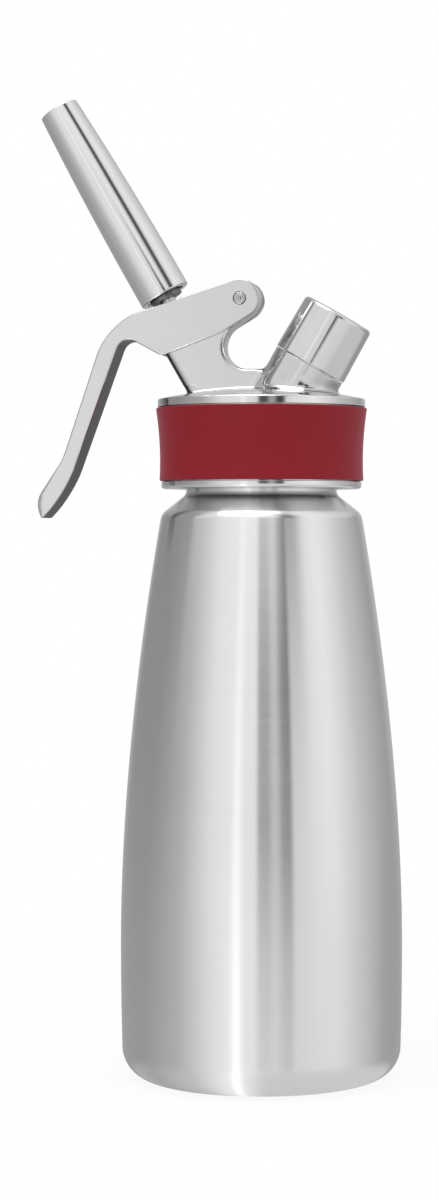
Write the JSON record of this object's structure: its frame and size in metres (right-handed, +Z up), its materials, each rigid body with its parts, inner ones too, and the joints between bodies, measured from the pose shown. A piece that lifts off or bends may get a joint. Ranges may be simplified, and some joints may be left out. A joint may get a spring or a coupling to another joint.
{
  "type": "whipped cream dispenser",
  "caption": "Steel cream whipper with a screw-on head, squeeze lever, slanted valve with a plain nozzle, and a capped charger port.",
  "frame": {"origin": "centre of the bottle's flat base", "axes": "+Z up along the bottle's axis; the nozzle and lever lean to -X, the charger port leans to +X; the lever turns about Y"},
  "size_m": [0.1299, 0.1, 0.3491],
  "materials": {
    "brushed_steel": "fine brushing round the bottle",
    "polished_steel": "polished casting",
    "lever_steel": "polished",
    "nozzle_steel": "polished",
    "cap_steel": "polished",
    "pin_steel": "polished, domed ends",
    "valve_steel": "turned",
    "spring_steel": "drawn wire",
    "plated_brass": "turned and plated",
    "red_silicone": "matt silicone",
    "white_silicone": "moulded silicone",
    "black_rubber": "moulded rubber"
  },
  "bodies": {
    "bottle": {"bottle": "brushed_steel"},
    "head_seat": {"head_gasket": "white_silicone"},
    "head": {"head_casting": "polished_steel", "grip_band": "red_silicone", "stem_o_ring": "black_rubber", "spring_washer": "valve_steel", "valve_spring": "spring_steel", "needle_insert": "plated_brass", "charger_needle": "valve_steel", "charger_seal": "white_silicone", "check_valve_disc": "black_rubber", "check_valve_plug": "valve_steel", "lever_pin": "pin_steel"},
    "lever": {"lever": "lever_steel"},
    "valve": {"valve_stem": "valve_steel", "valve_seal": "white_silicone", "stem_collar": "valve_steel", "nozzle_adapter": "valve_steel"},
    "nozzle_seat": {"nozzle_washer": "white_silicone"},
    "nozzle": {"nozzle": "nozzle_steel"},
    "cap_seat": {"cap_liner": "white_silicone"},
    "cap": {"protective_cap": "cap_steel"}
  },
  "joints": [
    {"name": "head_lift", "type": "slide", "parent": "bottle", "child": "head_seat", "axis": [0, 0, 1], "range_m": [0, 0.0125]},
    {"name": "head_turn", "type": "hinge", "parent": "head_seat", "child": "head", "pos_m": [0, 0, 0.2382], "axis": [0, 0, 1], "range_deg": [0, 901]},
    {"name": "lever_squeeze", "type": "hinge", "parent": "head", "child": "lever", "pos_m": [-0.00679, 0, 0.27666], "axis": [0, -1, 0], "range_deg": [0, 10], "stiffness_Nm_per_rad": 4, "springref_deg": -6.88},
    {"name": "valve_slide", "type": "slide", "parent": "head", "child": "valve", "axis": [0.5, 0, -0.866], "range_m": [0, 0.0042], "deforming": ["valve_spring"]},
    {"name": "nozzle_lift", "type": "slide", "parent": "valve", "child": "nozzle_seat", "axis": [-0.5, 0, 0.866], "range_m": [0, 0.00625]},
    {"name": "nozzle_turn", "type": "hinge", "parent": "nozzle_seat", "child": "nozzle", "pos_m": [-0.01345, 0, 0.2414], "axis": [-0.5, 0, 0.866], "range_deg": [0, 901]},
    {"name": "cap_lift", "type": "slide", "parent": "head", "child": "cap_seat", "axis": [0.5, 0, 0.866], "range_m": [0, 0.0075]},
    {"name": "cap_turn", "type": "hinge", "parent": "cap_seat", "child": "cap", "pos_m": [0.0105, 0, 0.2414], "axis": [0.5, 0, 0.866], "range_deg": [0, 1081]}
  ],
  "couplings": [
    {"joint": "head_turn", "follows": "head_lift", "rad_per_m": 1256.6},
    {"joint": "valve_slide", "follows": "lever_squeeze", "m_per_rad": 0.0234},
    {"joint": "nozzle_turn", "follows": "nozzle_lift", "rad_per_m": 2513.3},
    {"joint": "cap_turn", "follows": "cap_lift", "rad_per_m": 2513.3}
  ]
}
